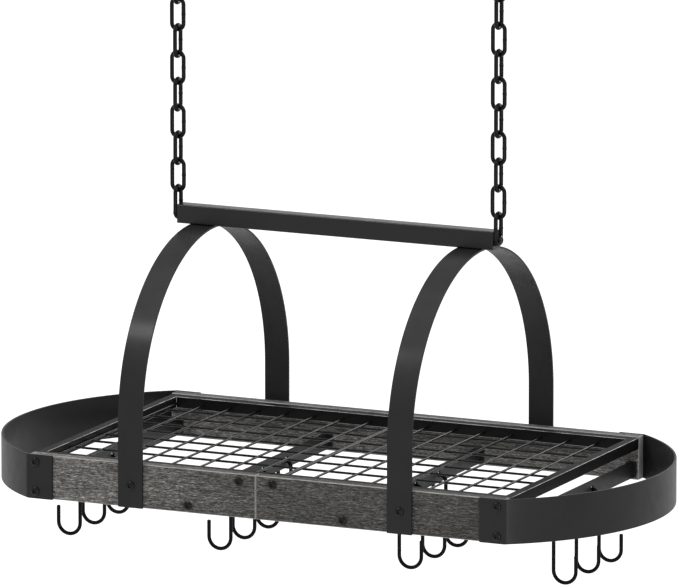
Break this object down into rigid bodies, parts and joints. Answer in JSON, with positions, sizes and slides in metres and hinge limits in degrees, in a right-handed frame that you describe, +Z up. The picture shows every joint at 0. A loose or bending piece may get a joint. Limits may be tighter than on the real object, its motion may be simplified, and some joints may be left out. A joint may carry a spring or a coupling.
{
  "type": "hanging pot rack",
  "caption": "Ceiling-hung pot rack: wooden side boards and bowed steel end bands round a wire shelf, on arched straps and a chain-hung bar, with S-hooks below.",
  "frame": {"origin": "on the ceiling, midway between the two ceiling hooks", "axes": "+X along the side boards and the top bar, -Y towards the front, +Z up"},
  "size_m": [0.914, 0.4558, 0.7819],
  "materials": {
    "black_steel": "satin black powder coat, slightly textured",
    "black_rod": "satin black, smooth rod",
    "bolt_black": "black oxide, satin",
    "grey_wood": "weathered grey stain, matt, grain along X"
  },
  "bodies": {
    "ceiling_hooks": {"ceiling_hook_left": "black_rod", "ceiling_hook_right": "black_rod"},
    "chain_left_top_link": {"chain_left_link_9": "black_rod"},
    "chain_left_middle_links": {"chain_left_link_8": "black_rod", "chain_left_link_7": "black_rod", "chain_left_link_6": "black_rod", "chain_left_link_5": "black_rod", "chain_left_link_4": "black_rod", "chain_left_link_3": "black_rod", "chain_left_link_2": "black_rod"},
    "chain_left_bottom_link": {"chain_left_link_1": "black_rod"},
    "chain_right_top_link": {"chain_right_link_9": "black_rod"},
    "chain_right_middle_links": {"chain_right_link_8": "black_rod", "chain_right_link_7": "black_rod", "chain_right_link_6": "black_rod", "chain_right_link_5": "black_rod", "chain_right_link_4": "black_rod", "chain_right_link_3": "black_rod", "chain_right_link_2": "black_rod"},
    "chain_right_bottom_link": {"chain_right_link_1": "black_rod"},
    "rack": {"board_front_left": "grey_wood", "board_front_right": "grey_wood", "board_back_left": "grey_wood", "board_back_right": "grey_wood", "end_band_left": "black_steel", "end_band_right": "black_steel", "arch_strap_left": "black_steel", "arch_strap_right": "black_steel", "top_bar": "black_steel", "bar_plug_left": "black_steel", "bar_plug_right": "black_steel", "chain_bolt_left": "bolt_black", "chain_bolt_right": "bolt_black", "shelf_half_left": "black_steel", "shelf_half_right": "black_steel", "crossbar_1": "black_steel", "crossbar_2": "black_steel", "crossbar_3": "black_steel", "crossbar_4": "black_steel", "strap_bolt_front_left": "bolt_black", "crossbar_bolt_front_left": "bolt_black", "strap_bolt_front_right": "bolt_black", "crossbar_bolt_front_right": "bolt_black", "strap_bolt_back_left": "bolt_black", "crossbar_bolt_back_left": "bolt_black", "strap_bolt_back_right": "bolt_black", "crossbar_bolt_back_right": "bolt_black"},
    "pot_hook_1_1": {"pot_hook_1_1": "black_rod"},
    "pot_hook_1_2": {"pot_hook_1_2": "black_rod"},
    "pot_hook_1_3": {"pot_hook_1_3": "black_rod"},
    "pot_hook_2_1": {"pot_hook_2_1": "black_rod"},
    "pot_hook_2_2": {"pot_hook_2_2": "black_rod"},
    "pot_hook_2_3": {"pot_hook_2_3": "black_rod"},
    "pot_hook_3_1": {"pot_hook_3_1": "black_rod"},
    "pot_hook_3_2": {"pot_hook_3_2": "black_rod"},
    "pot_hook_3_3": {"pot_hook_3_3": "black_rod"},
    "pot_hook_4_1": {"pot_hook_4_1": "black_rod"},
    "pot_hook_4_2": {"pot_hook_4_2": "black_rod"},
    "pot_hook_4_3": {"pot_hook_4_3": "black_rod"}
  },
  "joints": [
    {"name": "chain_left_swing", "type": "hinge", "parent": "ceiling_hooks", "child": "chain_left_top_link", "pos_m": [-0.22895, 0, -0.0395], "axis": [1, 0, 0], "range_deg": [-25, 25]},
    {"name": "chain_left_sway", "type": "hinge", "parent": "chain_left_top_link", "child": "chain_left_middle_links", "pos_m": [-0.22895, 0, -0.07525], "axis": [0, 1, 0], "range_deg": [-20, 20]},
    {"name": "chain_left_bottom_sway", "type": "hinge", "parent": "chain_left_middle_links", "child": "chain_left_bottom_link", "pos_m": [-0.22895, 0, -0.31795], "axis": [0, 1, 0], "range_deg": [-20, 20]},
    {"name": "chain_right_swing", "type": "hinge", "parent": "ceiling_hooks", "child": "chain_right_top_link", "pos_m": [0.22895, 0, -0.0395], "axis": [1, 0, 0], "range_deg": [-25, 25]},
    {"name": "chain_right_sway", "type": "hinge", "parent": "chain_right_top_link", "child": "chain_right_middle_links", "pos_m": [0.22895, 0, -0.07525], "axis": [0, 1, 0], "range_deg": [-20, 20]},
    {"name": "chain_right_bottom_sway", "type": "hinge", "parent": "chain_right_middle_links", "child": "chain_right_bottom_link", "pos_m": [0.22895, 0, -0.31795], "axis": [0, 1, 0], "range_deg": [-20, 20]},
    {"name": "rack_tilt", "type": "hinge", "parent": "chain_left_bottom_link", "child": "rack", "pos_m": [-0.22895, 0, -0.3532], "axis": [1, 0, 0], "range_deg": [-30, 30]},
    {"name": "pot_hook_1_1_swing", "type": "hinge", "parent": "rack", "child": "pot_hook_1_1", "pos_m": [-0.3267, -0.073, -0.688], "axis": [1, 0, 0], "range_deg": [-40, 40]},
    {"name": "pot_hook_1_2_swing", "type": "hinge", "parent": "rack", "child": "pot_hook_1_2", "pos_m": [-0.3267, 0, -0.688], "axis": [1, 0, 0], "range_deg": [-40, 40]},
    {"name": "pot_hook_1_3_swing", "type": "hinge", "parent": "rack", "child": "pot_hook_1_3", "pos_m": [-0.3267, 0.073, -0.688], "axis": [1, 0, 0], "range_deg": [-40, 40]},
    {"name": "pot_hook_2_1_swing", "type": "hinge", "parent": "rack", "child": "pot_hook_2_1", "pos_m": [-0.1083, -0.073, -0.688], "axis": [1, 0, 0], "range_deg": [-40, 40]},
    {"name": "pot_hook_2_2_swing", "type": "hinge", "parent": "rack", "child": "pot_hook_2_2", "pos_m": [-0.1083, 0, -0.688], "axis": [1, 0, 0], "range_deg": [-40, 40]},
    {"name": "pot_hook_2_3_swing", "type": "hinge", "parent": "rack", "child": "pot_hook_2_3", "pos_m": [-0.1083, 0.073, -0.688], "axis": [1, 0, 0], "range_deg": [-40, 40]},
    {"name": "pot_hook_3_1_swing", "type": "hinge", "parent": "rack", "child": "pot_hook_3_1", "pos_m": [0.1113, -0.073, -0.688], "axis": [1, 0, 0], "range_deg": [-40, 40]},
    {"name": "pot_hook_3_2_swing", "type": "hinge", "parent": "rack", "child": "pot_hook_3_2", "pos_m": [0.1113, 0, -0.688], "axis": [1, 0, 0], "range_deg": [-40, 40]},
    {"name": "pot_hook_3_3_swing", "type": "hinge", "parent": "rack", "child": "pot_hook_3_3", "pos_m": [0.1113, 0.073, -0.688], "axis": [1, 0, 0], "range_deg": [-40, 40]},
    {"name": "pot_hook_4_1_swing", "type": "hinge", "parent": "rack", "child": "pot_hook_4_1", "pos_m": [0.3297, -0.073, -0.688], "axis": [1, 0, 0], "range_deg": [-40, 40]},
    {"name": "pot_hook_4_2_swing", "type": "hinge", "parent": "rack", "child": "pot_hook_4_2", "pos_m": [0.3297, 0, -0.688], "axis": [1, 0, 0], "range_deg": [-40, 40]},
    {"name": "pot_hook_4_3_swing", "type": "hinge", "parent": "rack", "child": "pot_hook_4_3", "pos_m": [0.3297, 0.073, -0.688], "axis": [1, 0, 0], "range_deg": [-40, 40]}
  ],
  "couplings": [
    {"joint": "chain_left_bottom_sway", "follows": "chain_left_sway", "ratio": -1},
    {"joint": "chain_right_swing", "follows": "chain_left_swing", "ratio": 1},
    {"joint": "chain_right_sway", "follows": "chain_left_sway", "ratio": 1},
    {"joint": "chain_right_bottom_sway", "follows": "chain_left_sway", "ratio": -1}
  ]
}
